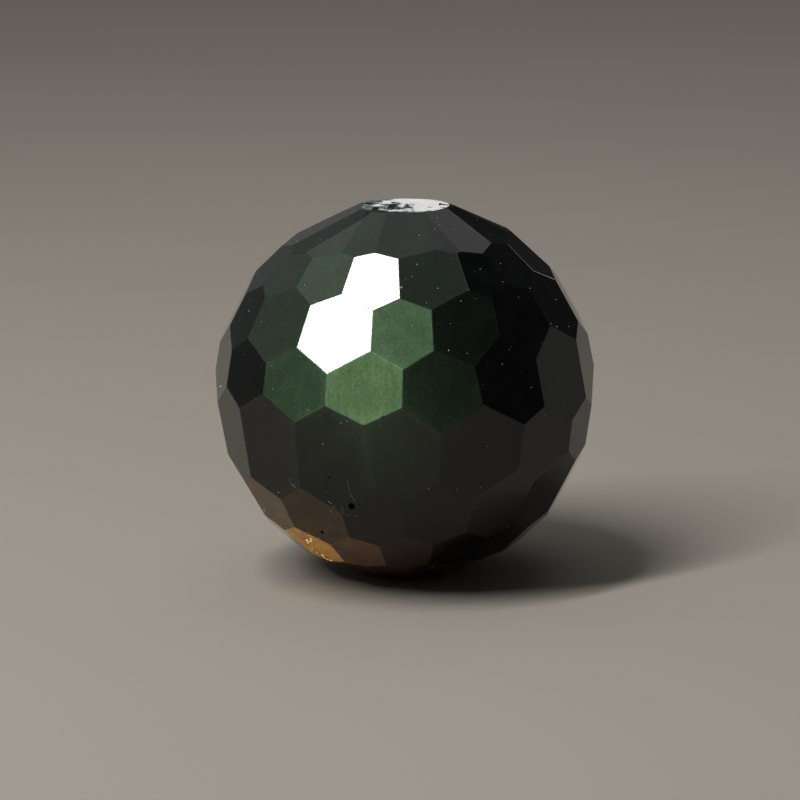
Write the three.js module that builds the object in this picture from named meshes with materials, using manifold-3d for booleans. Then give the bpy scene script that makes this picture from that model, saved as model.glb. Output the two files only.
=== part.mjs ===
// A drilled obsidian bead, hand cut to 128 facets, standing on its lower pole flat.
// Units are millimetres, +Z is the drill axis pointing up, -Y is the side turned to the viewer.
// The origin is the middle of the lower pole flat.
import * as THREE from 'three';
import { mergeVertices } from 'three/addons/utils/BufferGeometryUtils.js';
import Module from 'manifold-3d';

const DIAMETER = 12; // across the corners of the facets
const FACETS_PER_ROW = 16;
const ROW_TILTS = [64, 45.8, 28.2, 10.4, -9.2, -28.5, -46.5, -64.5]; // degrees up, top row first
const ROW_DEPTHS = [0.978, 0.978, 0.978, 0.978, 0.968, 0.978, 0.99, 0.988]; // their distances / radius
const CUT_TURN = -0.8; // degrees that the whole cut is turned to the right of straight ahead
const FLAT_HEIGHT = 5.82; // distance of each pole flat from the centre
const HOLE_DIAMETER = 1;
const HOLE_SIDES = 28;

// Facets that the cutter ground off the rule: row from the top, half steps to the right of the middle,
// degrees turned to the right, degrees tilted up, thousandths of the radius further out.
const OFF_RULE = [
  [0, -8, 0, 0.5, -15],
  [0, -6, 0, 0.5, -10],
  [0, -4, 0, -1.5, 0],
  [0, 0, 0.5, 0, -4],
  [0, 2, -0.5, 0, 7],
  [0, 4, -1, 0, 3],
  [0, 6, -1, -1.5, 5],
  [0, 8, 0, -0.5, 13],
  [1, -5, 1.5, -1, 9],
  [1, -3, 1, 0, 4],
  [1, 1, -1, 0.5, 0],
  [1, 3, 0, 0, 17],
  [1, 5, 1, 1, 8],
  [1, 7, 0, 0.5, 2],
  [2, -6, 0, 0.5, 9],
  [2, -4, -0.5, 1, 2],
  [2, -2, 0.5, 0, -3],
  [2, 0, 0, 0.5, 4],
  [2, 2, -1.5, -0.5, 3],
  [2, 4, 1.5, -2.5, 0],
  [2, 6, 0.5, 2, -4],
  [3, -5, 0, 0, 8],
  [3, -3, 0, 0, 3],
  [3, 1, 0.5, -1, -2],
  [3, 3, 1, 2, -2],
  [3, 5, 1, 2, -8],
  [4, -4, -0.5, -1, -9],
  [4, -2, 1, -2.5, -14],
  [4, 0, -2, 0, -4],
  [4, 4, 1.5, -1, 17],
  [4, 6, 0.5, 0, 27],
  [5, -5, 1.5, -1, 8],
  [5, -3, 0, -1.5, 0],
  [5, -1, 0, -1, 4],
  [6, -2, 1.5, -0.5, 2],
  [6, 0, 0, 0, 2],
];
const FAR_SIDE = 95; // degrees from straight ahead past which a facet lies on the far side
const FAR_TURN = 1; // degrees that the facets of the far side wander from the rule
const FAR_DEPTH = 0.004; // the share of the radius that they wander in or out
const FAR_OUT = 0.006; // and the share that they lie further out than the near ones

// Pits and small chips in the polish: degrees right of straight ahead, degrees above the girdle, size across.
const PITS = [
  [-18.6, -26, 0.22],
  [-34.5, -38.4, 0.12],
  [-24.6, 47.1, 0.06],
  [-0.7, 42.5, 0.08],
  [-38.3, -20.6, 0.2],
  [-47.7, -44.8, 0.18],
  [-52, -49.5, 0.16],
  [-48.8, -53, 0.16],
  [-45, -55.5, 0.14],
  [-25.2, -17.1, 0.07],
  [-26.7, -20.7, 0.06],
];
// Shell-shaped chips that break the rim of the drill hole at each pole.
const RIM_CHIPS = 7;
const RIM_CHIP_SIZE = 0.34;
const RIM_CHIP_WANDER = 0.35; // share of its size and of its spacing by which a rim chip strays
const RIM_CHIP_LIFT = 0.1; // share of its size by which a rim chip's middle lies off the pole flat

// Where each kind of wandering starts in the row of fixed numbers.
const TILT_SEED = 200;
const DEPTH_SEED = 400;
const TOP_RIM_SEED = 600;
const LOWER_RIM_SEED = 700;
const PIT_SEED = 800;
const SIZE_STEP = 20; // from a rim chip's own number to the one that gives its size
const ROLL_STEP = 100; // from a bite's own number to the one that gives its second turn

const radius = DIAMETER / 2;
const halfStep = 180 / FACETS_PER_ROW;
const toRadians = THREE.MathUtils.degToRad;

const wasm = await Module();
wasm.setup();

function toSolid(geometry) {
  const bare = geometry.clone();
  bare.deleteAttribute('normal');
  bare.deleteAttribute('uv');
  const closed = mergeVertices(bare, 1e-5);
  return new wasm.Manifold(new wasm.Mesh({
    numProp: 3,
    vertProperties: new Float32Array(closed.attributes.position.array),
    triVerts: new Uint32Array(closed.index.array),
  }));
}

function toGeometry(solid) {
  const mesh = solid.getMesh();
  const geometry = new THREE.BufferGeometry();
  geometry.setAttribute('position', new THREE.BufferAttribute(new Float32Array(mesh.vertProperties), 3));
  geometry.setIndex(new THREE.BufferAttribute(new Uint32Array(mesh.triVerts), 1));
  geometry.computeVertexNormals();
  return geometry;
}

// A direction from the centre of the bead, by degrees to the right of straight ahead and degrees up.
function direction(turn, tilt) {
  const [a, b] = [toRadians(turn), toRadians(tilt)];
  return new THREE.Vector3(Math.cos(b) * Math.sin(a), -Math.cos(b) * Math.cos(a), Math.sin(b));
}

// A fixed number between -1 and 1 for each whole number.
function wander(number) {
  return 2 * THREE.MathUtils.seededRandom(number * 7919 + 17) - 1;
}

// The flats of the cut: which way each one faces, and how far it lies from the centre.
function cutFlats() {
  const up = new THREE.Vector3(0, 0, 1);
  const flats = [{ along: up, distance: FLAT_HEIGHT }, { along: up.clone().negate(), distance: FLAT_HEIGHT }];
  ROW_TILTS.forEach((rowTilt, row) => {
    for (let facet = 0; facet < FACETS_PER_ROW; facet += 1) {
      const place = 2 * facet - FACETS_PER_ROW + (row % 2); // every second row sits half a step round
      const number = row * FACETS_PER_ROW + facet;
      const far = Math.abs(place * halfStep) > FAR_SIDE ? 1 : 0;
      const own = OFF_RULE.find((entry) => entry[0] === row && entry[1] === place) ?? [row, place, 0, 0, 0];
      const turn = CUT_TURN + place * halfStep + own[2] + far * FAR_TURN * wander(number);
      const tilt = rowTilt + own[3] + far * FAR_TURN * wander(number + TILT_SEED);
      const farOut = FAR_OUT + FAR_DEPTH * wander(number + DEPTH_SEED);
      const depth = ROW_DEPTHS[row] + own[4] / 1000 + far * farOut;
      flats.push({ along: direction(turn, tilt), distance: radius * depth });
    }
  });
  return flats;
}

// Takes away all that lies beyond one flat.
function grind(solid, { along, distance }) {
  const lap = new THREE.BoxGeometry(4 * radius, 4 * radius, 2 * radius);
  lap.translate(0, 0, distance + radius);
  lap.applyQuaternion(new THREE.Quaternion().setFromUnitVectors(new THREE.Vector3(0, 0, 1), along));
  return solid.subtract(toSolid(lap));
}

// The point of the polished surface that lies in a direction from the centre.
function surfacePoint(flats, along) {
  const reach = flats.filter((flat) => flat.along.dot(along) > 0.1)
    .map((flat) => flat.distance / flat.along.dot(along));
  return along.clone().multiplyScalar(Math.min(...reach));
}

// Takes a shallow shell-shaped bite out of the stone at a point of its surface.
function bite(solid, at, across, number) {
  const bowl = new THREE.IcosahedronGeometry(across / 2, 1);
  bowl.rotateX(wander(number) * Math.PI);
  bowl.rotateY(wander(number + ROLL_STEP) * Math.PI);
  bowl.translate(at.x, at.y, at.z);
  return solid.subtract(toSolid(bowl));
}

// The blank is a cube; every facet is one straight cut.
const flats = cutFlats();
let stone = toSolid(new THREE.BoxGeometry(1.1 * DIAMETER, 1.1 * DIAMETER, 1.1 * DIAMETER));
for (const flat of flats) stone = grind(stone, flat);

// The drill hole, and the chipped rims at its two mouths.
const drill = new THREE.CylinderGeometry(HOLE_DIAMETER / 2, HOLE_DIAMETER / 2, 2.4 * radius, HOLE_SIDES);
drill.rotateX(Math.PI / 2);
stone = stone.subtract(toSolid(drill));
for (const side of [1, -1]) {
  for (let chip = 0; chip < RIM_CHIPS; chip += 1) {
    const number = chip + (side > 0 ? TOP_RIM_SEED : LOWER_RIM_SEED);
    const around = (chip + RIM_CHIP_WANDER * wander(number)) * 2 * Math.PI / RIM_CHIPS;
    const across = RIM_CHIP_SIZE * (1 + RIM_CHIP_WANDER * wander(number + SIZE_STEP));
    const out = HOLE_DIAMETER / 2;
    const height = side * (FLAT_HEIGHT + RIM_CHIP_LIFT * across);
    const at = new THREE.Vector3(out * Math.cos(around), out * Math.sin(around), height);
    stone = bite(stone, at, across, number);
  }
}

PITS.forEach(([turn, tilt, across], index) => {
  stone = bite(stone, surfacePoint(flats, direction(turn, tilt)), across, PIT_SEED + index);
});

const obsidian = new THREE.MeshStandardMaterial({ color: 0x0b0d0b, roughness: 0.04, metalness: 0 });
const bead = new THREE.Mesh(toGeometry(stone), obsidian);
bead.name = 'bead';
bead.position.z = FLAT_HEIGHT;

const group = new THREE.Group();
group.add(bead);

export default group;
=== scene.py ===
"""Looks of the faceted obsidian bead: the polished stone, its ground poles, its chips and its dust."""
import math

import bmesh
import bpy
from bpy.props import FloatProperty, FloatVectorProperty, IntProperty, PointerProperty
from bpy.types import Operator, Panel, PropertyGroup
from mathutils import Matrix, Vector, noise


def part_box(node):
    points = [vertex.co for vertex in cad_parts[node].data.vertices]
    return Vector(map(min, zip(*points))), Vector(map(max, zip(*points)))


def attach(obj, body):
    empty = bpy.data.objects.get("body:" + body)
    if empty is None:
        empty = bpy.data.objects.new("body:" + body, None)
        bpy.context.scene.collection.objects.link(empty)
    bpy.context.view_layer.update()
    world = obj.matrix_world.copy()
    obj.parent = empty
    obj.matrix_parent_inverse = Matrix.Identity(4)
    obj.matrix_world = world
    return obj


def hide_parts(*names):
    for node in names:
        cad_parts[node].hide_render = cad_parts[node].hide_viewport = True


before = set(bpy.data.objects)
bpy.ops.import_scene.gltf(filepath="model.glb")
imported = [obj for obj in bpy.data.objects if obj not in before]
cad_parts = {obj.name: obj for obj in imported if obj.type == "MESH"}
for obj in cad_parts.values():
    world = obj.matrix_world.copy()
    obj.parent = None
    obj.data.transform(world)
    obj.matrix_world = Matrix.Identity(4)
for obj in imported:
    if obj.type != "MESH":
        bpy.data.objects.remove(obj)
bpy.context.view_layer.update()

bl_info = {
    "name": "Faceted obsidian bead",
    "version": (1, 0, 0),
    "blender": (4, 5, 0),
    "location": "View3D > Sidebar > Bead",
    "description": "Builds a drilled bead of sheen obsidian with its wear, its dust and a small studio",
    "category": "Object",
}

MM = 0.001
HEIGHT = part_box("bead")[1].z  # from the lower pole flat, which lies at zero, to the upper one
MIDDLE = Vector((0, 0, HEIGHT / 2))  # the middle of the bead

# The cut: degrees above the girdle, and distance from the centre over the radius, of each row from the top.
ROW_TILTS = (64, 45.8, 28.2, 10.4, -9.2, -28.5, -46.5, -64.5)
ROW_DEPTHS = (0.978, 0.978, 0.978, 0.978, 0.968, 0.978, 0.99, 0.988)
# Facets ground off the rule: (row, half steps right of the middle): (turn, tilt, thousandths further out).
OFF_RULE = {
    (0, -8): (0, 0.5, -15),
    (0, -6): (0, 0.5, -10),
    (0, -4): (0, -1.5, 0),
    (0, 0): (0.5, 0, -4),
    (0, 2): (-0.5, 0, 7),
    (0, 4): (-1, 0, 3),
    (0, 6): (-1, -1.5, 5),
    (0, 8): (0, -0.5, 13),
    (1, -5): (1.5, -1, 9),
    (1, -3): (1, 0, 4),
    (1, 1): (-1, 0.5, 0),
    (1, 3): (0, 0, 17),
    (1, 5): (1, 1, 8),
    (1, 7): (0, 0.5, 2),
    (2, -6): (0, 0.5, 9),
    (2, -4): (-0.5, 1, 2),
    (2, -2): (0.5, 0, -3),
    (2, 0): (0, 0.5, 4),
    (2, 2): (-1.5, -0.5, 3),
    (2, 4): (1.5, -2.5, 0),
    (2, 6): (0.5, 2, -4),
    (3, -5): (0, 0, 8),
    (3, -3): (0, 0, 3),
    (3, 1): (0.5, -1, -2),
    (3, 3): (1, 2, -2),
    (3, 5): (1, 2, -8),
    (4, -4): (-0.5, -1, -9),
    (4, -2): (1, -2.5, -14),
    (4, 0): (-2, 0, -4),
    (4, 4): (1.5, -1, 17),
    (4, 6): (0.5, 0, 27),
    (5, -5): (1.5, -1, 8),
    (5, -3): (0, -1.5, 0),
    (5, -1): (0, -1, 4),
    (6, -2): (1.5, -0.5, 2),
    (6, 0): (0, 0, 2),
}
FAR_SIDE = 95  # degrees from straight ahead past which a facet wanders
SHARP = math.radians(3)  # the least bend of an edge between two facets
GRAZING = 0.1  # a flat faces a direction when the cosine between them is greater
SAME_CORNER = 1e-7  # metres within which two corners of facets are one

# The numbers that the solid's source gives the wandering of the far facets, the rim chips and the pits.
TILT_SEED, DEPTH_SEED, PIT_SEED = 200, 400, 800
RIM_SEEDS = {1: 600, -1: 700}
SIZE_STEP = 20  # from a rim chip's own number to the one that gives its size
ROLL_STEP = 100  # from a bite's own number to the one that gives its second turn

# The drill hole and the chips of its rims.
DRILL_LENGTH = 1.1  # over the height of the bead
DRILL_RINGS, DRILL_SIDES = 120, 72
SCORING = 0.02  # depth of the marks on the wall over the hole's radius
SCORES = 6  # marks in a millimetre
RIM_CHIPS = 7
RIM_CHIP_WANDER = 0.35  # share of its size and of its spacing by which a rim chip strays
RIM_CHIP_LIFT = 0.1  # share of its size by which a rim chip's middle lies off the pole flat
LUMPS = 3.5  # lumps across a bite

# The rough patches at the poles. Wide and fine features: how many in a millimetre, and share of the depth.
PATCH_RINGS, PATCH_SIDES = 46, 120
SWELL = (1.1, 0.7)
GRIT = (3.4, 0.5)
MEAN_HOLLOW = 0.12  # share of the depth that is ground away half way between high and low
SHALLOW_FROM = 0.72  # share of the radius from which the hollows get shallower
SHALLOWING = 5  # and how fast
SHALLOWEST = 0.2  # and how shallow, over their depth further in
LID_RISE = 0.5 * MM  # how far the grinding lid reaches out of the stone

SLIT = 1e-6  # millimetres within which two points of the finished stone are one
EDGE_ZONE = 0.2 * MM  # from the edge of a facet to where its middle begins

# The stone's materials by their place in its list.
POLISHED, GROUND, CHIPPED, HOLLOW, SCRATCHED = range(5)

# Pits and small chips in the polish: degrees right of straight ahead, degrees above the girdle, mm across,
# and how deep over how wide from the middle.
DEEP = 0.7  # a deeper pit is dark
PIT_RIPPLE = 0.25  # height of a pit's lumps over its radius
PITS = (
    (-18.6, -26, 0.22, 1.0),
    (-34.5, -38.4, 0.12, 0.8),
    (-24.6, 47.1, 0.06, 0.5),
    (-0.7, 42.5, 0.08, 0.5),
    (-38.3, -20.6, 0.2, 0.16),
    (-47.7, -44.8, 0.18, 0.45),
    (-52, -49.5, 0.16, 0.45),
    (-48.8, -53, 0.16, 0.45),
    (-45, -55.5, 0.14, 0.45),
    (-25.2, -17.1, 0.07, 0.8),
    (-26.7, -20.7, 0.06, 0.8),
)
# Hairline scratches, and the cracks along the lower left edge, which carry its painted amber gleam: material,
# width in mm, then the points that they pass, in degrees right and up.
SCRATCHES = (
    (SCRATCHED, 0.02, ((-19.5, -16.9), (-19.2, -18.8), (-18.9, -21.1), (-18.1, -22.9), (-16.9, -24.4))),
    (SCRATCHED, 0.028, ((-22.2, -27.9), (-21.5, -29.2), (-19.2, -29.5), (-17.1, -29.7))),
    (SCRATCHED, 0.034, ((-22.5, -26.2), (-22, -27), (-21.9, -27.9))),
    (SCRATCHED, 0.024, ((-40.5, -18.6), (-39.9, -20), (-39.4, -21), (-37, -21.4))),
    (CHIPPED, 0.06, ((-41.4, -38.6), (-43.8, -41.9), (-43.8, -43.9), (-52.4, -47.5))),
    (CHIPPED, 0.07, ((-55.1, -51.7), (-49.5, -52.1), (-50.9, -54.5), (-46.3, -56))),
    (CHIPPED, 0.03, ((-38.3, -42.7), (-37.5, -40.5))),
)
SCRATCH_TAPER = 0.4  # the lower, the blunter the ends of a scratch
SCRATCH_SWELL = 0.25  # share of its width by which a scratch grows and shrinks
SCRATCH_STRAY = 0.3  # widths by which it strays from its path
SCRATCH_DEPTH = 0.5  # depth over half the width

# Nicks along the edges, over the radius of the largest: least distance apart, and the smallest radius.
NICK_GAP = 2.3
SMALLEST_NICK = 0.3

DUST_FLOOR = 0.1 * MM  # no scattered grain lies lower
SMALLEST_GRAIN = 0.3  # radius of the smallest scattered grain over that of a large one
GRAIN_RARITY = 4.0  # the higher, the fewer large grains
GRAIN_RIPPLE = 0.4  # height of a single grain's lumps over its radius
# Bright single grains of dust: degrees right, degrees up, radius in mm.
GRAINS = (
    (-78, 4, 0.03),
    (-64, -34, 0.035),
    (25, 66, 0.02),
    (12, 64, 0.018),
    (14, 22, 0.02),
    (-26, -6, 0.018),
    (-31, -47, 0.022),
    (-34, -50, 0.02),
    (-26.5, -25.1, 0.014),
    (-25.8, -25.4, 0.014),
    (-26.7, -28.5, 0.014),
    (-24.9, -26.6, 0.014),
)
# Where the frost of the pole flats is whitest: mm right of the hole, mm away from the viewer, radius in mm,
# strength.
FROST_PATCHES = (
    (1.2, 0.2, 0.75, 1.2),
    (0.35, 1.15, 0.5, 1.0),
    (-0.74, 0.3, 0.2, 0.9),
    (-0.42, 0.95, 0.25, 0.9),
    (-0.2, -0.85, 0.25, 0.9),
    (0.85, -0.75, 0.42, 1.3),
)
REFRACTION = 1.49  # of the glass

LENS = 153.7  # focal length of the camera in mm, on a sensor 36 mm wide
SENSOR = 36
SHIFT = (-0.00625, -0.0151)  # how far the middle of the picture lies off the camera's line, over its width
FLOOR_REACH = 1.5  # metres from the bead to the edge of the floor
WATTS = 4  # of an area light of a square metre, for a radiance of 1

# Which output of a random value node holds each kind of value.
DRAWN = {"FLOAT_VECTOR": 0, "FLOAT": 1, "BOOLEAN": 3}
# The colour sockets of a mix node: the share, the two colours and the result.
MIX_SHARE, MIX_LOW, MIX_HIGH, MIX_RESULT = 0, 6, 7, 2


class StoneSettings(PropertyGroup):
    radius: FloatProperty(
        name="Radius", description="Radius across the facet corners", default=6 * MM, unit="LENGTH")
    hole_radius: FloatProperty(
        name="Hole radius", description="Radius of the drill hole", default=0.5 * MM, unit="LENGTH")
    rim_chip: FloatProperty(
        name="Rim chip", description="Size of the chips round the hole", default=0.34 * MM, unit="LENGTH")
    facets_per_row: IntProperty(
        name="Facets per row", description="Facets round each row", default=16)
    cut_turn: FloatProperty(
        name="Cut turn", description="Turn of the whole cut about the hole",
        default=math.radians(-0.8), subtype="ANGLE")
    far_turn: FloatProperty(
        name="Far turn", description="Wander of the far facets' directions",
        default=math.radians(1), subtype="ANGLE")
    far_depth: FloatProperty(
        name="Far depth", description="Wander of the far facets in or out, over the radius", default=0.004)
    far_out: FloatProperty(
        name="Far out", description="How much further out the far facets lie, over the radius", default=0.006)
    rim_share: FloatProperty(
        name="Rim share", description="Size of a facet's middle over the facet", default=0.78)
    edge_wear: FloatProperty(
        name="Edge wear", description="How far wear rounds each edge", default=0.022 * MM, unit="LENGTH")
    nick_spacing: FloatProperty(
        name="Nick spacing", description="Spacing of the places along the edges that may be nicked",
        default=0.5 * MM, unit="LENGTH")
    nick_share: FloatProperty(
        name="Nick share", description="Share of those places that are nicked", default=0.09)
    nick_size: FloatProperty(
        name="Nick size", description="Radius of the largest nick", default=0.045 * MM, unit="LENGTH")
    ground_radius: FloatProperty(
        name="Ground radius", description="Radius of the rough patch at each pole",
        default=1.5 * MM, unit="LENGTH")
    ground_depth: FloatProperty(
        name="Ground depth", description="Depth of the hollows in the rough patches",
        default=0.06 * MM, unit="LENGTH")
    seed: IntProperty(name="Seed", description="Seed of the nicks and the rough patches", default=5)


# The glass's colour, most of it painted light: a painted green sheen, and a painted brown reflection low on
# the left. The body is the glass's own colour.
class SheenSettings(PropertyGroup):
    turn: FloatProperty(
        name="Turn", description="Turn of the layers that give the sheen",
        default=math.radians(-15), subtype="ANGLE")
    tilt: FloatProperty(
        name="Tilt", description="Tilt of the layers that give the sheen",
        default=math.radians(20.6), subtype="ANGLE")
    spread: FloatProperty(
        name="Spread", description="How far a facet may turn from the layers before the sheen fades",
        default=math.radians(11.3), subtype="ANGLE")
    strength: FloatProperty(name="Strength", description="Strength of the sheen", default=0.87)
    haze: FloatProperty(
        name="Haze", description="Strength of the weak, wide sheen of the tilted layers", default=0.08)
    middle: FloatVectorProperty(
        name="Middle", description="Colour of the sheen in the middle of the brightest facets",
        default=(0.24, 0.385, 0.07), subtype="COLOR")
    rim: FloatVectorProperty(
        name="Rim", description="Colour of the sheen near the edges and away from the brightest facets",
        default=(0.235, 0.44, 0.23), subtype="COLOR")
    body: FloatVectorProperty(
        name="Body", description="Colour of the glass itself",
        default=(0.0014, 0.0019, 0.0017), subtype="COLOR")
    # Colours of the painted reflection: the brown that the facets low on the left mirror, and the purplish
    # brown beside it.
    painted_brown: FloatVectorProperty(
        name="Warm", description="Colour of the brown, thinner glass low on the left",
        default=(0.8, 0.42, 0.02), subtype="COLOR")
    rosy: FloatVectorProperty(
        name="Rosy", description="Colour of the purplish brown next to it",
        default=(0.135, 0.056, 0.048), subtype="COLOR")


class DustSettings(PropertyGroup):
    density: FloatProperty(
        name="Density", description="Grains on a square metre that faces up", default=2.4e6)
    grain: FloatProperty(
        name="Grain", description="Radius of a large scattered grain", default=0.015 * MM, unit="LENGTH")
    seed: IntProperty(name="Seed", description="Seed of the scatter", default=11)


class StageSettings(PropertyGroup):
    distance: FloatProperty(
        name="Distance", description="From the camera to the middle of the bead",
        default=108 * MM, unit="LENGTH")
    elevation: FloatProperty(
        name="Elevation", description="Height of the camera as an angle",
        default=math.radians(11.7), subtype="ANGLE")
    roll: FloatProperty(
        name="Roll", description="How far the bead leans to the left in the picture",
        default=math.radians(1.2), subtype="ANGLE")
    key: FloatProperty(name="Key", description="Radiance of the strip light", default=30)
    fill: FloatProperty(name="Fill", description="Radiance of the panels above and at the left", default=0.45)
    side: FloatProperty(name="Side", description="Radiance of the low panel at the right", default=0.13)
    edge: FloatProperty(
        name="Edge", description="Radiance of the thin light behind at the right", default=0.8)
    air: FloatProperty(name="Air", description="Radiance of the room", default=0.03)
    floor_tone: FloatVectorProperty(
        name="Floor tone", description="Colour of the floor",
        default=(0.44, 0.4, 0.345), subtype="COLOR")


def seeded(number):
    """The fixed number between 0 and 1 that the solid's source draws for a whole number."""
    whole = 0xFFFFFFFF
    t = (number + 0x6D2B79F5) & whole
    t = ((t ^ (t >> 15)) * (t | 1)) & whole
    t ^= (t + (((t ^ (t >> 7)) * (t | 61)) & whole)) & whole
    return ((t ^ (t >> 14)) & whole) / (whole + 1)


def wander(number):
    """A fixed number between -1 and 1 for each whole number."""
    return 2 * seeded(number * 7919 + 17) - 1


def direction(turn, tilt):
    """A direction from the middle of the bead, by radians right of straight ahead and radians up."""
    return Vector((math.cos(tilt) * math.sin(turn), -math.cos(tilt) * math.cos(turn), math.sin(tilt)))


def from_degrees(turn, tilt):
    return direction(math.radians(turn), math.radians(tilt))


class Web:
    """Adds nodes to a node tree and joins them as they are made."""

    def __init__(self, tree):
        self.tree = tree
        self.group_in = self.group_out = None

    def feed(self, socket, value):
        if isinstance(value, bpy.types.Node):
            value = value.outputs[0]
        if isinstance(value, bpy.types.NodeSocket):
            self.tree.links.new(value, socket)
        else:
            socket.default_value = value

    def node(self, kind, inputs=(), **settings):
        made = self.tree.nodes.new(kind)
        for name, value in settings.items():
            setattr(made, name, value)
        for name, value in dict(inputs).items():
            self.feed(made.inputs[name], value)
        return made

    def operate(self, kind, operation, values):
        """A node of one operation on values, which are fed in order."""
        made = self.node(kind, operation=operation)
        for socket, value in zip(made.inputs, values):
            self.feed(socket, value)
        return made

    def math(self, operation, *values):
        return self.operate("ShaderNodeMath", operation, values).outputs["Value"]

    def times(self, *values):
        """The product of two or more numbers."""
        product = values[0]
        for value in values[1:]:
            product = self.math("MULTIPLY", product, value)
        return product

    def vector(self, operation, *values, scale=None):
        made = self.operate("ShaderNodeVectorMath", operation, values)
        if scale is not None:
            self.feed(made.inputs["Scale"], scale)
        scalar = operation in ("DOT_PRODUCT", "DISTANCE")
        return made.outputs["Value" if scalar else "Vector"]

    def draw(self, kind, inputs):
        """A random value of one kind for each point."""
        return self.node("FunctionNodeRandomValue", inputs, data_type=kind).outputs[DRAWN[kind]]

    def blend(self, share, low, high):
        made = self.node("ShaderNodeMix", data_type="RGBA", clamp_factor=True)
        self.feed(made.inputs[MIX_SHARE], share)
        self.feed(made.inputs[MIX_LOW], low)
        self.feed(made.inputs[MIX_HIGH], high)
        return made.outputs[MIX_RESULT]

    def remap(self, value, low, high, to_low=0.0, to_high=1.0, smooth=True):
        made = self.node(
            "ShaderNodeMapRange",
            {"Value": value, "From Min": low, "From Max": high, "To Min": to_low, "To Max": to_high},
            interpolation_type="SMOOTHSTEP" if smooth else "LINEAR")
        return made.outputs["Result"]

    def noise(self, at, scale, detail=2.0, rough=0.5, warp=0.0):
        made = self.node(
            "ShaderNodeTexNoise",
            {"Vector": at, "Scale": scale, "Detail": detail, "Roughness": rough, "Distortion": warp})
        return made.outputs[0]


def colour(value):
    """A colour as a socket holds it, with its full opacity."""
    return (*value, 1.0)


def within(value, low, high):
    return min(max(value, low), high)


def geometry_tree(name, inputs):
    """A Geometry Nodes tree with a geometry in and out and the named inputs: (name, socket type)."""
    tree = bpy.data.node_groups.new(name, "GeometryNodeTree")
    tree.interface.new_socket("Geometry", in_out="INPUT", socket_type="NodeSocketGeometry")
    for label, kind in inputs:
        tree.interface.new_socket(label, in_out="INPUT", socket_type=kind)
    tree.interface.new_socket("Geometry", in_out="OUTPUT", socket_type="NodeSocketGeometry")
    web = Web(tree)
    web.group_in = tree.nodes.new("NodeGroupInput")
    web.group_out = tree.nodes.new("NodeGroupOutput")
    return web


def close_tree(web, geometry, material):
    """Ends a tree in Realize Instances and Set Material."""
    real = web.node("GeometryNodeRealizeInstances", {"Geometry": geometry})
    done = web.node("GeometryNodeSetMaterial", {"Geometry": real, "Material": material})
    web.feed(web.group_out.inputs[0], done)


def grown(obj, tree, values):
    """The plain mesh that a tree makes of an object, which is then removed."""
    modifier = obj.modifiers.new("tree", "NODES")
    modifier.node_group = tree
    for item in tree.interface.items_tree:
        if item.in_out == "INPUT" and item.name in values:
            modifier[item.identifier] = values[item.name]
    bpy.context.view_layer.update()
    seen = obj.evaluated_get(bpy.context.evaluated_depsgraph_get())
    mesh = bpy.data.meshes.new_from_object(seen)
    bpy.data.objects.remove(obj)
    return mesh


def new_object(name, mesh):
    obj = bpy.data.objects.new(name, mesh)
    bpy.context.scene.collection.objects.link(obj)
    return obj


def flats(stone):
    """The flats of the cut, the poles first: which way each one faces, and its distance over the radius."""
    pole = HEIGHT / 2 / stone.radius
    found = [(0.0, math.pi / 2, pole), (0.0, -math.pi / 2, pole)]
    half_step = math.pi / stone.facets_per_row
    for row, row_tilt in enumerate(ROW_TILTS):
        for facet in range(stone.facets_per_row):
            place = 2 * facet - stone.facets_per_row + row % 2
            number = row * stone.facets_per_row + facet
            far = 1 if abs(math.degrees(place * half_step)) > FAR_SIDE else 0
            turn, tilt, out = OFF_RULE.get((row, place), (0, 0, 0))
            turn = math.radians(turn) + place * half_step + far * stone.far_turn * wander(number)
            tilt = math.radians(row_tilt + tilt) + far * stone.far_turn * wander(number + TILT_SEED)
            depth = ROW_DEPTHS[row] + out / 1000
            depth += far * (stone.far_out + stone.far_depth * wander(number + DEPTH_SEED))
            found.append((turn, tilt, depth))
    return found


def planes(stone):
    """The same flats as (direction, distance from the middle in metres), with the turn of the cut."""
    return [
        (direction(turn + stone.cut_turn, tilt), depth * stone.radius)
        for turn, tilt, depth in flats(stone)]


def surface_point(cut, along):
    """The point of the polished surface that lies in a direction from the middle."""
    reach = min(distance / along.dot(facing) for facing, distance in cut if along.dot(facing) > GRAZING)
    return along * reach


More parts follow.
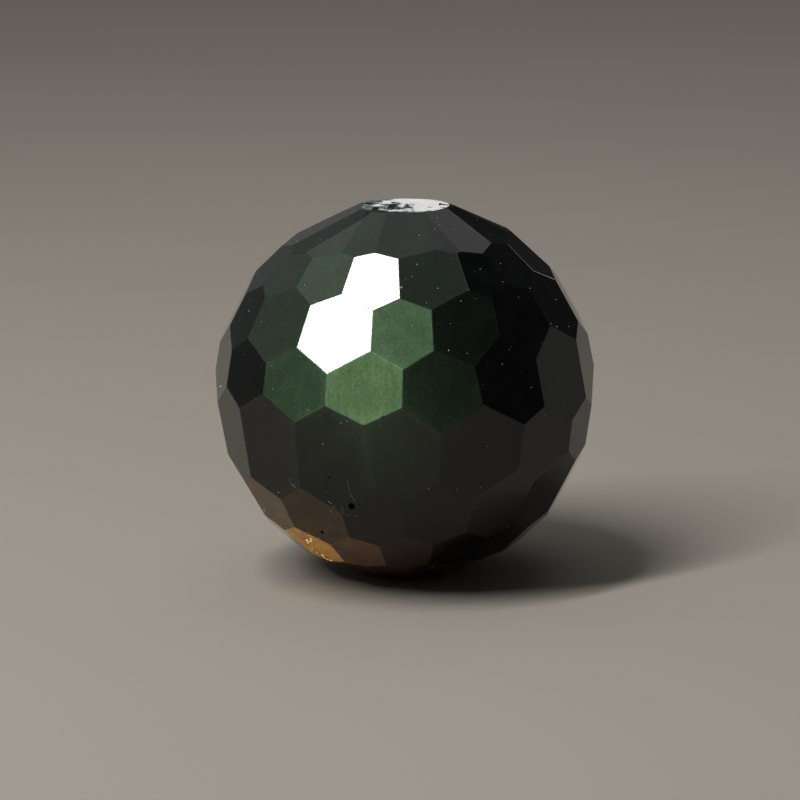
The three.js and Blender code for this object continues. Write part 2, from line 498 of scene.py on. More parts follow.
def cut_tree():
    """Every flat is one point. The hull of the points' duals, turned inside out again, is the cut stone."""
    web = geometry_tree("facet cut", (
        ("Radius", "NodeSocketFloat"),
        ("Cut Turn", "NodeSocketFloat"),
        ("Rim Share", "NodeSocketFloat"),
        ("Material", "NodeSocketMaterial"),
    ))
    given = web.group_in.outputs
    attribute = {}
    for name in ("turn", "tilt", "depth"):
        attribute[name] = web.node("GeometryNodeInputNamedAttribute", {"Name": name}, data_type="FLOAT")
    turn = web.math("ADD", attribute["turn"], given["Cut Turn"])
    level = web.math("COSINE", attribute["tilt"])
    facing = web.node("ShaderNodeCombineXYZ", {
        "X": web.times(level, web.math("SINE", turn)),
        "Y": web.times(level, web.math("COSINE", turn), -1.0),
        "Z": web.math("SINE", attribute["tilt"]),
    })
    dual = web.vector("SCALE", facing, scale=web.math("DIVIDE", 1.0, attribute["depth"]))
    placed = web.node("GeometryNodeSetPosition", {"Geometry": given["Geometry"], "Position": dual})
    hull = web.node("GeometryNodeConvexHull", {"Geometry": placed})

    normal = web.node("GeometryNodeInputNormal")
    position = web.node("GeometryNodeInputPosition")
    reach = web.math("DIVIDE", given["Radius"], web.vector("DOT_PRODUCT", normal, position))
    corner = web.node("GeometryNodeCaptureAttribute", domain="FACE")
    corner.capture_items.new("VECTOR", "Corner")
    web.feed(corner.inputs["Geometry"], hull)
    web.feed(corner.inputs["Corner"], web.vector("SCALE", normal, scale=reach))
    facets = web.node("GeometryNodeDualMesh", {"Mesh": corner.outputs["Geometry"]})
    stood = web.node("GeometryNodeSetPosition", {"Geometry": facets, "Position": corner.outputs["Corner"]})
    joined = web.node("GeometryNodeMergeByDistance", {"Geometry": stood, "Distance": SAME_CORNER})

    rim = web.node(
        "GeometryNodeExtrudeMesh", {"Mesh": joined, "Offset Scale": 0.0, "Individual": True}, mode="FACES")
    middle = web.node("GeometryNodeScaleElements", {
        "Geometry": rim.outputs["Mesh"], "Selection": rim.outputs["Top"], "Scale": given["Rim Share"]})
    flat = web.node("GeometryNodeSetShadeSmooth", {"Geometry": middle, "Shade Smooth": False})
    close_tree(web, flat, given["Material"])
    return web.tree


def nick_tree():
    """Small balls at random places along the edges of the facets, which take nicks out of the stone."""
    web = geometry_tree("edge nicks", (
        ("Spacing", "NodeSocketFloat"),
        ("Share", "NodeSocketFloat"),
        ("Size", "NodeSocketFloat"),
        ("Seed", "NodeSocketInt"),
        ("Material", "NodeSocketMaterial"),
    ))
    given = web.group_in.outputs
    bend = web.node("GeometryNodeInputMeshEdgeAngle").outputs["Unsigned Angle"]
    lines = web.node("GeometryNodeMeshToCurve", {
        "Mesh": given["Geometry"], "Selection": web.math("GREATER_THAN", bend, SHARP)})
    points = web.node(
        "GeometryNodeCurveToPoints", {"Curve": lines, "Length": given["Spacing"]}, mode="LENGTH")
    apart = web.node("GeometryNodeMergeByDistance", {
        "Geometry": points.outputs["Points"], "Distance": web.times(given["Size"], NICK_GAP)})
    nick = web.node("GeometryNodeMeshIcoSphere", {"Radius": 1.0, "Subdivisions": 2})
    sized = web.draw("FLOAT_VECTOR", {"Min": (SMALLEST_NICK,) * 3, "Seed": given["Seed"]})
    placed = web.node("GeometryNodeInstanceOnPoints", {
        "Points": apart, "Instance": nick,
        "Selection": web.draw("BOOLEAN", {"Probability": given["Share"], "Seed": given["Seed"]}),
        "Rotation": web.draw("FLOAT_VECTOR", {"Max": (math.tau,) * 3, "Seed": given["Seed"]}),
        "Scale": web.vector("SCALE", sized, scale=given["Size"]),
    })
    close_tree(web, placed.outputs["Instances"], given["Material"])
    return web.tree


def dust_tree():
    """Grains scattered over the stone, most on what faces up."""
    web = geometry_tree("dust", (
        ("Density", "NodeSocketFloat"),
        ("Grain", "NodeSocketFloat"),
        ("Seed", "NodeSocketInt"),
        ("Material", "NodeSocketMaterial"),
    ))
    given = web.group_in.outputs
    facing = web.node("GeometryNodeInputNormal")
    up = web.node("ShaderNodeSeparateXYZ", {"Vector": facing}).outputs["Z"]
    height = web.node("ShaderNodeSeparateXYZ", {"Vector": web.node("GeometryNodeInputPosition")}).outputs["Z"]
    lies = web.remap(up, -0.7, 0.9, 0.12, 1.0, smooth=False)
    lies = web.times(lies, web.math("GREATER_THAN", height, DUST_FLOOR))
    points = web.node("GeometryNodeDistributePointsOnFaces", {
        "Mesh": given["Geometry"], "Density": web.times(given["Density"], lies), "Seed": given["Seed"]})
    grain = web.node("GeometryNodeMeshIcoSphere", {"Radius": 1.0, "Subdivisions": 1})
    few_large = web.math("POWER", web.draw("FLOAT", {"Seed": given["Seed"]}), GRAIN_RARITY)
    placed = web.node("GeometryNodeInstanceOnPoints", {
        "Points": points.outputs["Points"], "Instance": grain,
        "Rotation": web.draw("FLOAT_VECTOR", {"Max": (math.tau,) * 3, "Seed": given["Seed"]}),
        "Scale": web.times(web.math("ADD", few_large, SMALLEST_GRAIN), given["Grain"])})
    close_tree(web, placed.outputs["Instances"], given["Material"])
    return web.tree


def to_triangles(mesh):
    """Cuts every face of a mesh into triangles."""
    bm = bmesh.new()
    bm.from_mesh(mesh)
    bmesh.ops.triangulate(bm, faces=bm.faces)
    bm.to_mesh(mesh)
    bm.free()


def close_slits(mesh):
    """Merges the points that all but coincide, and makes triangles."""
    bm = bmesh.new()
    bm.from_mesh(mesh)
    bmesh.ops.remove_doubles(bm, verts=bm.verts, dist=SLIT)
    bm.to_mesh(mesh)
    bm.free()
    to_triangles(mesh)


def cut_solid(obj, cutter):
    """Takes the cutter's volume out of the object, which is held in millimetres, and removes the cutter."""
    cutter.data.transform(Matrix.Scale(1 / MM, 4))
    to_triangles(cutter.data)
    to_triangles(obj.data)
    modifier = obj.modifiers.new("cut", "BOOLEAN")
    modifier.operation = "DIFFERENCE"
    modifier.solver = "EXACT"
    modifier.object = cutter
    bpy.context.view_layer.update()
    seen = obj.evaluated_get(bpy.context.evaluated_depsgraph_get())
    mesh = bpy.data.meshes.new_from_object(seen)
    obj.modifiers.remove(modifier)
    if not mesh.polygons or len(mesh.vertices) == len(obj.data.vertices):
        raise RuntimeError(f"{cutter.name} cut nothing")
    obj.data = mesh
    bpy.data.objects.remove(cutter)


def cutter_from(name, bm, materials, index):
    """An object of the cutter's mesh, whose faces leave the given material on the stone."""
    bmesh.ops.recalc_face_normals(bm, faces=bm.faces)
    if bm.calc_volume(signed=True) < 0:
        bmesh.ops.reverse_faces(bm, faces=bm.faces)
    for face in bm.faces:
        face.material_index = index
    mesh = bpy.data.meshes.new(name)
    dress(mesh, materials)
    bm.to_mesh(mesh)
    bm.free()
    return new_object(name, mesh)


def tube(bm, rings):
    """A closed skin through rings of points, all with as many points."""
    skin = [[bm.verts.new(point) for point in ring] for ring in rings]
    for low, high in zip(skin, skin[1:]):
        for k in range(len(low)):
            bm.faces.new((low[k - 1], low[k], high[k], high[k - 1]))
    bm.faces.new(skin[0])
    bm.faces.new(skin[-1])


def rough(point, scale, octaves=3):
    """Fractal noise, about -1 to 1, at a point in metres, with that many features in a millimetre."""
    return noise.fractal(point * scale / MM, 1.0, 2.0, octaves)


def hole_wall(stone, around):
    """The point of the hole's wall at an angle, level with the middle of the bead."""
    return Vector((math.cos(around), math.sin(around), 0)) * stone.hole_radius


def drill(stone, materials):
    """The drill, with the slight scoring that it leaves on the wall."""
    rings = []
    for ring in range(DRILL_RINGS + 1):
        up = Vector((0, 0, (ring / DRILL_RINGS - 0.5) * DRILL_LENGTH * HEIGHT))
        points = []
        for side in range(DRILL_SIDES):
            out = hole_wall(stone, math.tau * side / DRILL_SIDES)
            points.append(out * (1 + SCORING * rough(out + up, SCORES)) + up)
        rings.append(points)
    bm = bmesh.new()
    tube(bm, rings)
    return cutter_from("drill", bm, materials, GROUND)


def ball(bm, at, across, number, ripple=0.1, detail=4, depth=1.0, facing=None):
    """A lumpy ball that takes a shell-shaped bite, flattened along the way that the surface faces."""
    made = bmesh.ops.create_icosphere(bm, subdivisions=detail, radius=across / 2)["verts"]
    roll = Matrix.Rotation(math.pi * wander(number), 3, "X")
    turn = roll @ Matrix.Rotation(math.pi * wander(number + ROLL_STEP), 3, "Y")
    for vert in made:
        out = turn @ vert.co
        out *= 1 + ripple * noise.noise(out * LUMPS / across + Vector((number, 0, 0)))
        if facing:
            out -= facing * out.dot(facing) * (1 - depth)
        vert.co = at + out


def rim_chips(stone, side, materials):
    """The chips that break the rim of the hole at one pole."""
    parts = []
    for chip in range(RIM_CHIPS):
        number = chip + RIM_SEEDS[side]
        around = (chip + RIM_CHIP_WANDER * wander(number)) * math.tau / RIM_CHIPS
        across = stone.rim_chip * (1 + RIM_CHIP_WANDER * wander(number + SIZE_STEP))
        at = hole_wall(stone, around)
        at.z = side * (HEIGHT / 2 + RIM_CHIP_LIFT * across)
        bm = bmesh.new()
        ball(bm, at, across, number)
        parts.append(cutter_from(f"rim_chip_{chip}", bm, materials, GROUND))
    return parts


def ground_cap(stone, side, materials):
    """A lid with a rough underside, which grinds the flat at one pole down to a pitted, frosted patch."""
    start = Vector((stone.seed * 3.1, side * 7.7, 0)) * MM  # where the poles read the noise
    bm = bmesh.new()
    heart = None
    skin = []
    for ring in range(PATCH_RINGS + 1):
        out = stone.ground_radius * ring / PATCH_RINGS
        loop = []
        for step in range(PATCH_SIDES if ring else 1):
            around = math.tau * step / PATCH_SIDES
            at = Vector((out * math.cos(around), out * math.sin(around), 0))
            swell = SWELL[1] * rough(at + start, SWELL[0], 2)
            grit = GRIT[1] * rough(at + start * 2, GRIT[0], 3)
            hollow = stone.ground_depth * within(MEAN_HOLLOW + swell + grit, 0.0, 1.0)
            hollow *= within(1 - SHALLOWING * (ring / PATCH_RINGS - SHALLOW_FROM), SHALLOWEST, 1.0)
            loop.append(bm.verts.new(at + Vector((0, 0, side * (HEIGHT / 2 - hollow)))))
        if ring:
            skin.append(loop)
        else:
            heart = loop[0]
    for k in range(PATCH_SIDES):
        bm.faces.new((heart, skin[0][k - 1], skin[0][k]))
    for low, high in zip(skin, skin[1:]):
        for k in range(PATCH_SIDES):
            bm.faces.new((low[k - 1], low[k], high[k], high[k - 1]))
    rise = side * (HEIGHT / 2 + LID_RISE)
    lid = [bm.verts.new(Vector((vert.co.x, vert.co.y, rise))) for vert in skin[-1]]
    for k in range(PATCH_SIDES):
        bm.faces.new((skin[-1][k - 1], skin[-1][k], lid[k], lid[k - 1]))
    bm.faces.new(lid)
    return cutter_from("ground_cap", bm, materials, GROUND)


def pits(cut, materials):
    """The pits and small chips of the facets."""
    parts = []
    for index, (turn, tilt, across, depth) in enumerate(PITS):
        bm = bmesh.new()
        along = from_degrees(turn, tilt)
        at = surface_point(cut, along)
        ball(bm, at, across * MM, PIT_SEED + index, PIT_RIPPLE, depth=depth, facing=along)
        parts.append(cutter_from(f"pit_{index}", bm, materials, HOLLOW if depth > DEEP else CHIPPED))
    return parts


def rounded(path):
    """The points of a path with their corners cut off three times over."""
    path = [Vector(point) for point in path]
    for _ in range(3):
        inner = []
        for start, end in zip(path, path[1:]):
            inner += [start.lerp(end, 0.25), start.lerp(end, 0.75)]
        path = [path[0], *inner, path[-1]]
    return path


def scratch(cut, index, width, path, number, materials):
    """A shallow groove along a path, wider and narrower by turns, which runs out at both ends."""
    points = [surface_point(cut, from_degrees(turn, tilt)) for turn, tilt in rounded(path)]
    rings = []
    for place in range(1, len(points) - 1):
        at = points[place]
        forward = (points[place + 1] - points[place - 1]).normalized()
        out = at.normalized()
        side = forward.cross(out).normalized()
        share = math.sin(math.pi * place / (len(points) - 1)) ** SCRATCH_TAPER
        half = 0.5 * width * MM * share * (1 + SCRATCH_SWELL * rough(at + Vector((number, 0, 0)) * MM, 6))
        middle = at + side * SCRATCH_STRAY * width * MM * rough(at, 4)
        rings.append([middle + side * half, middle - out * SCRATCH_DEPTH * half,
                      middle - side * half, middle + out * half])
    bm = bmesh.new()
    tube(bm, rings)
    return cutter_from("scratch", bm, materials, index)


def worn_edges(mesh, wear):
    """Rounds the edges between the facets."""
    bm = bmesh.new()
    bm.from_mesh(mesh)
    bmesh.ops.recalc_face_normals(bm, faces=bm.faces)
    sharp = [edge for edge in bm.edges if edge.calc_face_angle(0) > SHARP]
    bmesh.ops.bevel(
        bm, geom=sharp, offset=wear, offset_type="OFFSET", segments=3, profile=0.5, affect="EDGES",
        clamp_overlap=True)
    bm.to_mesh(mesh)
    bm.free()


def mark_middles(mesh, cut, width):
    """Stores how far each point of the surface lies from the nearest edge of its facet, from 0 to 1."""
    inner = mesh.attributes.new("inner", "FLOAT", "POINT")
    for vert in mesh.vertices:
        slack = sorted(distance - vert.co.dot(facing) for facing, distance in cut)
        inner.data[vert.index].value = within(slack[1] / width, 0.0, 1.0)


def dress(mesh, materials):
    """Gives a mesh a list of materials, and puts all of its faces back to the first of them."""
    mesh.materials.clear()
    for material in materials:
        mesh.materials.append(material)


def make_stone(stone, materials):
    """The bead as one closed mesh, about its middle."""
    points = bpy.data.meshes.new("flats")
    cut = flats(stone)
    points.vertices.add(len(cut))
    for name, values in zip(("turn", "tilt", "depth"), zip(*cut)):
        points.attributes.new(name, "FLOAT", "POINT").data.foreach_set("value", values)
    mesh = grown(new_object("cut", points), cut_tree(), {
        "Radius": stone.radius, "Cut Turn": stone.cut_turn, "Rim Share": stone.rim_share,
        "Material": materials[POLISHED]})
    dress(mesh, materials)
    nicks = grown(new_object("nicks", mesh.copy()), nick_tree(), {
        "Spacing": stone.nick_spacing, "Share": stone.nick_share, "Size": stone.nick_size,
        "Seed": stone.seed, "Material": materials[CHIPPED]})
    dress(nicks, materials)
    nicks.polygons.foreach_set("material_index", [CHIPPED] * len(nicks.polygons))
    worn_edges(mesh, stone.edge_wear)
    obj = new_object("bead_stone", mesh)
    mesh.transform(Matrix.Scale(1 / MM, 4))
    cutters = [ground_cap(stone, side, materials) for side in (1, -1)]
    cutters.append(drill(stone, materials))
    for side in (1, -1):
        cutters += rim_chips(stone, side, materials)
    polished = planes(stone)
    cutters += pits(polished, materials)
    for number, (index, width, path) in enumerate(SCRATCHES):
        cutters.append(scratch(polished, index, width, path, number, materials))
    cutters.append(new_object("nicks", nicks))
    for cutter in cutters:
        cut_solid(obj, cutter)
    close_slits(obj.data)
    obj.data.transform(Matrix.Scale(MM, 4))
    mark_middles(obj.data, polished, EDGE_ZONE)
    return obj


def new_material(name):
    """A material with one Principled shader, and its web of nodes."""
    material = bpy.data.materials.new(name)
    material.use_nodes = True
    web = Web(material.node_tree)
    shader = material.node_tree.nodes["Principled BSDF"]
    place = web.node("ShaderNodeTexCoord").outputs["Object"]
    at = web.node("ShaderNodeMapping", {"Vector": place, "Scale": (1 / MM,) * 3}).outputs[0]
    return material, web, shader, at


def bump(web, shader, height, depth, strength):
    """Fine relief of a material, by its height from 0 to 1 and its depth in metres."""
    web.feed(shader.inputs["Normal"], web.node(
        "ShaderNodeBump", {"Height": height, "Distance": depth, "Strength": strength}).outputs[0])


def lobe(web, facing, turn, tilt, spread):
    """1 where the stone faces one way, fading over an angle."""
    near = web.vector("DOT_PRODUCT", facing, direction(turn, tilt))
    return web.math("EXPONENT", web.math("DIVIDE", web.math("SUBTRACT", near, 1.0), spread * spread))


def spot(web, facing, turn, tilt, spread):
    """The same, by degrees."""
    return lobe(web, facing, math.radians(turn), math.radians(tilt), math.radians(spread))


def outward_from_middle(web, at):
    """The direction in which a point lies from the middle of the bead."""
    return web.vector("NORMALIZE", web.vector("SUBTRACT", at, MIDDLE / MM))


def polished_obsidian(sheen):
    """Black glass. The green sheen of its fine layers is painted into its colour on the facets that lie along
    them, and a brown reflection is painted on the facets low on the left.
    """
    material, web, shader, at = new_material("polished_obsidian")
    facing = web.node("ShaderNodeNewGeometry").outputs["True Normal"]
    inner = web.node("ShaderNodeAttribute", attribute_name="inner").outputs["Fac"]

    # Painted sheen: the green that the fine layers shine is painted into the base colour. It is strongest on
    # the facets that face along the layers, and weak on the tilted layers and on the far side.
    straight = lobe(web, facing, sheen.turn, sheen.tilt, sheen.spread)
    tilted = spot(web, facing, -31, 49, 16.2)
    behind = lobe(web, facing, sheen.turn + math.pi, -sheen.tilt, sheen.spread)
    # Painted glow of the sheen: it spreads softly across the edges round the brightest facets, by where each
    # point lies from the middle.
    glow = spot(web, outward_from_middle(web, at), -12, 5, 13)
    amount = web.math("ADD", straight, web.times(tilted, sheen.haze))
    amount = web.math("ADD", amount, web.times(behind, 0.3))
    amount = web.math("ADD", amount, web.times(glow, web.remap(inner, 0.0, 1.0, 0.13, 0.05)))
    # The painted sheen is brighter near the edges of the facets.
    amount = web.times(amount, web.remap(inner, 0.0, 1.0, 1.22, 1.0))
    grain = web.remap(web.noise(at, 15.0, 3.0, 0.7), 0.3, 0.72, 0.74, 1.28, smooth=False)
    upright = web.node("ShaderNodeMapping", {
        "Vector": at, "Rotation": (0.1, 0.25, 0), "Scale": (6.0, 6.0, 0.9)})
    streak = web.remap(web.noise(upright, 1.0, 3.0, 0.6, 0.4), 0.35, 0.68, 0.9, 1.12, smooth=False)
    cloud = web.remap(web.noise(at, 0.9, 2.0), 0.3, 0.7, 0.9, 1.1)
    amount = web.times(amount, grain, streak, cloud, sheen.strength)
    patchy = web.remap(web.noise(at, 1.6), 0.3, 0.6, 0.6, 1.0)
    heart = web.times(inner, web.remap(straight, 0.35, 0.75), patchy)
    tint = web.blend(heart, colour(sheen.rim), colour(sheen.middle))
    speck = web.remap(web.noise(web.vector("ADD", at, Vector((31, 7, 3))), 16.0, 2.0, 0.6), 0.56, 0.72)
    tint = web.blend(web.times(speck, 0.4), tint, colour((0.46, 0.36, 0.12)))
    green = web.vector("SCALE", tint, scale=amount)

    mottle = web.remap(web.noise(at, 0.75, 3.0, 0.55, 0.6), 0.42, 0.62)
    body = web.blend(mottle, colour(sheen.body), colour(tuple(2.4 * part for part in sheen.body)))
    # Painted reflection: the brown that the facets low on the left mirror is painted into their colour, with
    # a purplish brown beside it.
    brown_reflection_share = web.math("ADD", spot(web, facing, -46, -47, 7), web.times(spot(web, facing, -54, -40, 11), 0.2))
    cloudy = web.remap(web.noise(at, 1.1, 3.0, 0.6, 0.5), 0.32, 0.66, 0.65, 1.2)
    grainy = web.remap(web.noise(at, 11.0, 3.0, 0.65), 0.32, 0.68, 0.8, 1.2, smooth=False)
    brown_reflection_share = web.times(brown_reflection_share, cloudy, grainy)
    russet = tuple(part * share for part, share in zip(sheen.painted_brown, (0.95, 0.66, 0.9)))
    amber = web.blend(web.remap(web.noise(at, 2.6, 3.0, 0.6), 0.5, 0.68), colour(sheen.painted_brown), colour(russet))
    brown = web.vector("SCALE", amber, scale=brown_reflection_share)
    uneven = web.remap(web.noise(at, 2.1, 3.0), 0.3, 0.7, 0.7, 1.3)
    rosy = web.times(spot(web, facing, -31, -59.5, 12), uneven)
    brown = web.vector("ADD", brown, web.vector("SCALE", Vector(sheen.rosy), scale=rosy))
    # The base colour: the glass's own body colour, with the painted sheen and the painted brown reflection
    # added.
    glass = web.vector("ADD", web.vector("ADD", green, body), brown)
    web.feed(shader.inputs["Base Color"], glass)

    fine = web.noise(at, 30.0, 2.0, 0.6)
    wiped = web.noise(web.node("ShaderNodeMapping", {"Vector": at, "Scale": (2.0, 9.0, 30.0)}), 1.0, 2.0)
    web.feed(shader.inputs["Roughness"], web.remap(web.math("ADD", fine, wiped), 0.8, 1.3, 0.025, 0.06))
    shader.inputs["IOR"].default_value = REFRACTION
    bump(web, shader, web.noise(at, 1.4, 2.0), 0.004 * MM, 0.35)
    return material


def ground_obsidian():
    """The ground flats: white frost in patches, grey and dark where the glass is barely touched."""
    material, web, shader, at = new_material("ground_obsidian")
    part = web.node("ShaderNodeSeparateXYZ", {"Vector": at}).outputs
    level = web.node("ShaderNodeCombineXYZ", {"X": part["X"], "Y": part["Y"]})
    swirl = web.node("ShaderNodeTexNoise", {"Vector": at, "Scale": 2.4, "Detail": 3.0}).outputs["Color"]
    wave = web.vector("SUBTRACT", swirl, Vector((0.5,) * 3))
    level = web.vector("ADD", level, web.vector("SCALE", wave, scale=0.5))
    frost = web.times(web.math("SUBTRACT", web.noise(at, 2.2, 4.0, 0.65, 0.5), 0.5), 2.4)
    for right, away, wide, strength in FROST_PATCHES:
        off = web.math("DIVIDE", web.vector("DISTANCE", level, Vector((right, away, 0))), wide)
        patch = web.math("EXPONENT", web.times(off, off, -1.0))
        frost = web.math("ADD", frost, web.times(patch, strength))
    front = web.remap(web.math("ADD", part["Y"], web.times(part["X"], 0.6)), -1.35, -1.12)
    frost = web.times(web.remap(frost, 0.18, 0.5), front)
    mottle = web.remap(web.noise(at, 3.1, 3.0), 0.4, 0.6)
    bare = web.blend(mottle, colour((0.09, 0.105, 0.105)), colour((0.25, 0.31, 0.32)))
    bare = web.blend(front, colour((0.012, 0.014, 0.013)), bare)
    speck = web.remap(web.noise(at, 14.0, 3.0, 0.7), 0.3, 0.7, 0.88, 1.05, smooth=False)
    tone = web.blend(frost, bare, colour((0.95, 0.95, 0.94)))
    web.feed(shader.inputs["Base Color"], web.vector("SCALE", tone, scale=speck))
    web.feed(shader.inputs["Roughness"], web.remap(frost, 0.0, 1.0, 0.3, 0.75))
    shader.inputs["IOR"].default_value = REFRACTION
    bump(web, shader, web.noise(at, 9.0, 4.0, 0.6), 0.05 * MM, 0.8)
    return material


def chipped_obsidian():
    """Fresh breaks: ribbed glass, whitish where it is crushed, and a painted amber gleam at the lower left
    edge, which glows by emission.
    """
    material, web, shader, at = new_material("chipped_obsidian")
    # Painted gleam: the breaks at the lower left edge are painted amber to cream.
    amber = web.remap(spot(web, outward_from_middle(web, at), -49, -51, 7), 0.1, 0.5)
    crushed = web.remap(web.noise(at, 9.0, 3.0, 0.6), 0.46, 0.62)
    tone = web.blend(crushed, colour((0.012, 0.013, 0.012)), colour((0.42, 0.43, 0.42)))
    torn = web.remap(web.noise(web.vector("ADD", at, Vector((5, 3, 8))), 8.0, 3.0, 0.7, 0.8), 0.47, 0.6)
    painted_gleam_tone = web.blend(torn, colour((0.3, 0.13, 0.03)), colour((0.95, 0.74, 0.4)))
    web.feed(shader.inputs["Base Color"], web.blend(amber, tone, painted_gleam_tone))
    # Painted glow: the amber gleam also shines by emission, though it is no lamp.
    painted_glow = web.times(amber, web.remap(torn, 0.0, 1.0, 0.06, 1.0))
    web.feed(shader.inputs["Emission Color"], web.vector("SCALE", Vector((1.0, 0.7, 0.34)), scale=painted_glow))
    shader.inputs["Emission Strength"].default_value = 0.6
    web.feed(shader.inputs["Roughness"], web.remap(crushed, 0.0, 1.0, 0.12, 0.6))
    shader.inputs["IOR"].default_value = REFRACTION
    ribs = web.node("ShaderNodeTexWave", {
        "Vector": at, "Scale": 9.0, "Distortion": 6.0, "Detail": 2.0}, wave_type="RINGS")
    bump(web, shader, ribs.outputs["Fac"], 0.01 * MM, 0.6)
    return material


def dull_obsidian(name, low, high, specular):
    """Broken glass that mirrors nothing, mottled between two greys."""
    material, web, shader, at = new_material(name)
    mottle = web.remap(web.noise(at, 12.0, 2.0), 0.35, 0.65)
    web.feed(shader.inputs["Base Color"], web.blend(mottle, colour(low), colour(high)))
    web.feed(shader.inputs["Roughness"], web.remap(mottle, 0.0, 1.0, 0.6, 0.85))
    shader.inputs["Specular IOR Level"].default_value = specular
    bump(web, shader, web.noise(at, 20.0, 2.0), 0.01 * MM, 0.5)
    return material


def hollow_obsidian():
    """The dark insides of the deep pits."""
    return dull_obsidian("hollow_obsidian", (0.001, 0.001, 0.001), (0.005, 0.005, 0.004), 0.05)


def scratched_obsidian():
    """The bluish white powder in the scratches."""
    return dull_obsidian("scratched_obsidian", (0.06, 0.065, 0.075), (0.24, 0.25, 0.28), 0.3)


def dust_material():
    """House dust, off-white and dull."""
    material, web, shader, at = new_material("dust")
    tone = web.remap(web.noise(at, 2.5, 2.0), 0.3, 0.7)
    grey = web.blend(tone, colour((0.5, 0.5, 0.47)), colour((0.85, 0.85, 0.82)))
    web.feed(shader.inputs["Base Color"], grey)
    web.feed(shader.inputs["Roughness"], web.remap(tone, 0.0, 1.0, 0.7, 0.9))
    return material


def floor_material(tone):
    """A matt floor of one tone, which drifts by a hair."""
    material, web, shader, at = new_material("pale_floor")
    drift = web.remap(web.noise(at, 0.02, 2.0), 0.3, 0.7)
    low = tuple(0.97 * part for part in tone)
    web.feed(shader.inputs["Base Color"], web.blend(drift, colour(low), colour(tone)))
    web.feed(shader.inputs["Roughness"], web.remap(drift, 0.0, 1.0, 0.85, 0.95))
    shader.inputs["Specular IOR Level"].default_value = 0.1
    return material


def settle(obj):
    """Moves a mesh that was made about the bead's middle up to where the bead stands."""
    obj.data.transform(Matrix.Translation(MIDDLE))


class BEAD_OT_stone(Operator):
    """Cut, drill and grind the stone, and wear its edges"""

    bl_idname = "bead.stone"
    bl_label = "Stone"

    def execute(self, context):
        stone = context.scene.bead_stone
        materials = (
            polished_obsidian(context.scene.bead_sheen), ground_obsidian(), chipped_obsidian(),
            hollow_obsidian(), scratched_obsidian())
        obj = make_stone(stone, materials)
        settle(obj)
        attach(obj, "root")
        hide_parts("bead")
        return {"FINISHED"}


class BEAD_OT_dust(Operator):
    """Scatter dust over the stone, with the few grains that catch the light"""

    bl_idname = "bead.dust"
    bl_label = "Dust"

    def execute(self, context):
        dust = context.scene.bead_dust
        stone = bpy.data.objects["bead_stone"]
        material = dust_material()
        mesh = grown(new_object("scatter", stone.data.copy()), dust_tree(), {
            "Density": dust.density, "Grain": dust.grain, "Seed": dust.seed, "Material": material})
        cut = planes(context.scene.bead_stone)
        bm = bmesh.new()
        bm.from_mesh(mesh)
        for number, (turn, tilt, size) in enumerate(GRAINS):
            at = surface_point(cut, from_degrees(turn, tilt)) + MIDDLE
            ball(bm, at, 2 * size * MM, number, GRAIN_RIPPLE, detail=2)
        bm.to_mesh(mesh)
        bm.free()
        dress(mesh, [material])
        obj = new_object("bead_dust", mesh)
        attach(obj, "root")
        return {"FINISHED"}


def aimed(eye, target, roll=0.0):
    """The placing of a camera or light at a point, looking at another, turned about its own line."""
    back = (eye - target).normalized()
    side = Vector((0, 0, 1)).cross(back).normalized()
    up = back.cross(side)
    placing = Matrix((side, up, back)).transposed().to_4x4() @ Matrix.Rotation(roll, 4, "Z")
    placing.translation = eye
    return placing


def panel(name, turn, tilt, distance, width, height, radiance, roll=0.0, tone=(1, 1, 1)):
    """A soft panel light: degrees right and up from the bead, metres off, and degrees wide and high."""
    light = bpy.data.lights.new(name, "AREA")
    light.shape = "RECTANGLE"
    light.size = 2 * distance * math.tan(math.radians(width / 2))
    light.size_y = 2 * distance * math.tan(math.radians(height / 2))
    light.energy = WATTS * radiance * light.size * light.size_y
    light.color = tone
    obj = new_object(name, light)
    obj.matrix_world = aimed(MIDDLE + from_degrees(turn, tilt) * distance, MIDDLE, math.radians(roll))
    obj.visible_camera = False


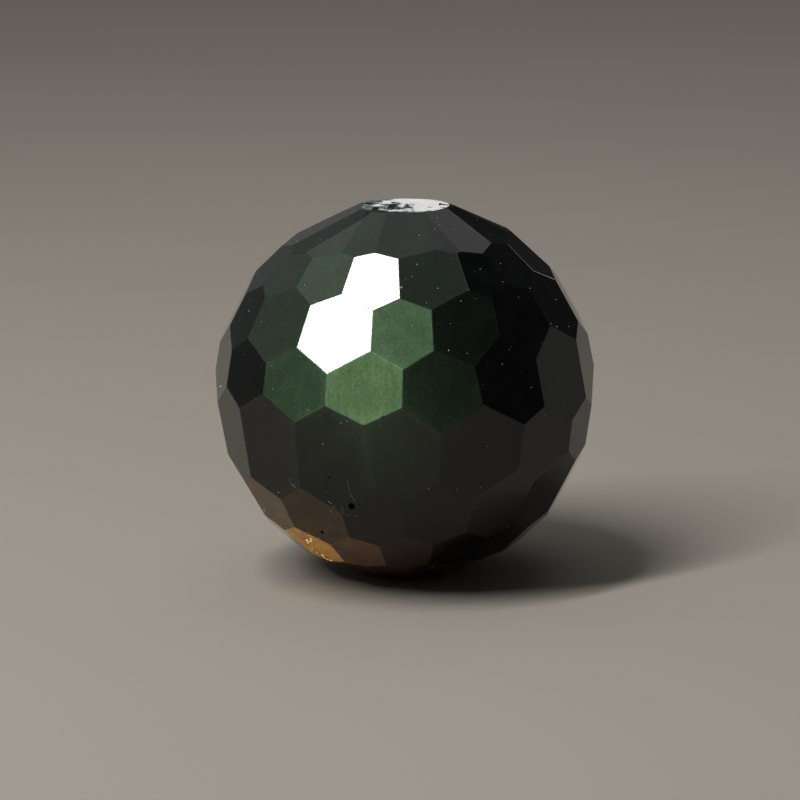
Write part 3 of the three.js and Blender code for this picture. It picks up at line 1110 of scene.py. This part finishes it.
class BEAD_OT_stage(Operator):
    """Lay the floor, hang the lights and set the camera"""

    bl_idname = "bead.stage"
    bl_label = "Stage"

    def execute(self, context):
        stage = context.scene.bead_stage
        bm = bmesh.new()
        bmesh.ops.create_grid(bm, x_segments=8, y_segments=8, size=FLOOR_REACH)
        mesh = bpy.data.meshes.new("floor")
        bm.to_mesh(mesh)
        bm.free()
        mesh.materials.append(floor_material(stage.floor_tone))
        floor = new_object("floor", mesh)

        panel("strip", -57, 58, 0.15, 4.6, 43, stage.key, roll=7.8)
        panel("overhead", 180, 64, 0.3, 54, 62, 0.68 * stage.fill)
        panel("over_front", 55, 77, 0.2, 20, 18, 0.36 * stage.fill)
        panel("left_high", -110, 54, 0.3, 16, 16, 1.08 * stage.fill)
        panel("left", -118, 28, 0.3, 50, 30, 0.45 * stage.fill)
        panel("left_behind", -162, 12, 0.3, 28, 22, 0.18 * stage.fill)
        panel("left_low", -125, 9, 0.15, 44, 22, 0.14 * stage.fill)
        panel("low_right", 107, 8, 0.3, 30, 24, stage.side, tone=(1, 1, 0.9))
        panel("thin_behind", 150, 19, 0.3, 6, 22, stage.edge)

        world = bpy.data.worlds.new("room")
        world.use_nodes = True
        world.node_tree.nodes["Background"].inputs["Color"].default_value = colour((stage.air,) * 3)
        context.scene.world = world
        context.scene.view_settings.view_transform = "Standard"

        camera = bpy.data.cameras.new("camera")
        camera.sensor_width = SENSOR
        camera.lens = LENS
        camera.shift_x, camera.shift_y = SHIFT
        camera.clip_start = MM
        obj = new_object("camera", camera)
        eye = MIDDLE + direction(0, stage.elevation) * stage.distance
        obj.matrix_world = aimed(eye, MIDDLE, -stage.roll)
        context.scene.camera = obj
        return {"FINISHED"}


class BEAD_PT_bead(Panel):
    bl_label = "Bead"
    bl_space_type = "VIEW_3D"
    bl_region_type = "UI"
    bl_category = "Bead"

    def draw(self, context):
        for operator in OPERATORS:
            self.layout.operator(operator.bl_idname)
        for name in SETTINGS:
            box = self.layout.box()
            group = getattr(context.scene, name)
            for prop in group.bl_rna.properties:
                if not prop.is_readonly and prop.identifier != "name":
                    box.prop(group, prop.identifier)


OPERATORS = (BEAD_OT_stone, BEAD_OT_dust, BEAD_OT_stage)
SETTINGS = {
    "bead_stone": StoneSettings,
    "bead_sheen": SheenSettings,
    "bead_dust": DustSettings,
    "bead_stage": StageSettings,
}


def register():
    for kind in (*SETTINGS.values(), *OPERATORS, BEAD_PT_bead):
        bpy.utils.register_class(kind)
    for name, kind in SETTINGS.items():
        setattr(bpy.types.Scene, name, PointerProperty(type=kind))


def unregister():
    for name in SETTINGS:
        delattr(bpy.types.Scene, name)
    for kind in (BEAD_PT_bead, *reversed(OPERATORS), *reversed(SETTINGS.values())):
        bpy.utils.unregister_class(kind)


def main():
    register()
    bpy.ops.bead.stone()
    bpy.ops.bead.dust()
    bpy.ops.bead.stage()


if __name__ == "__main__":
    main()
